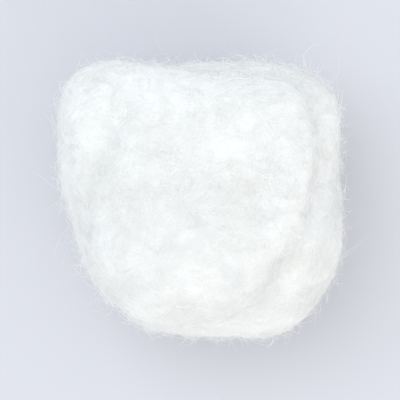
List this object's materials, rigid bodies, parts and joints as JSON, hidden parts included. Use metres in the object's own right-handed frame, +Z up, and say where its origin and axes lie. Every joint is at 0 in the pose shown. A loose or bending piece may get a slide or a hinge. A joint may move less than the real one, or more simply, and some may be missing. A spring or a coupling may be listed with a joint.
{
  "type": "cotton ball",
  "caption": "Soft white ball of bleached carded cotton, made by rolling up a short length of loose fibre, for dabbing, wiping and cleaning.",
  "frame": {"origin": "the point of the resting surface under the middle of the ball, in the small flat spot that it rests on", "axes": "+Z up, away from the resting surface; Y along the axis that the cotton was rolled round, with +Y towards the blunt end and -Y towards the rounder, narrower end; +X to the right with +Y pointing away"},
  "size_m": [0.0264, 0.026, 0.0235],
  "materials": {
    "cotton": "matte"
  },
  "bodies": {
    "root": {"cotton_ball": "cotton"}
  },
  "joints": []
}
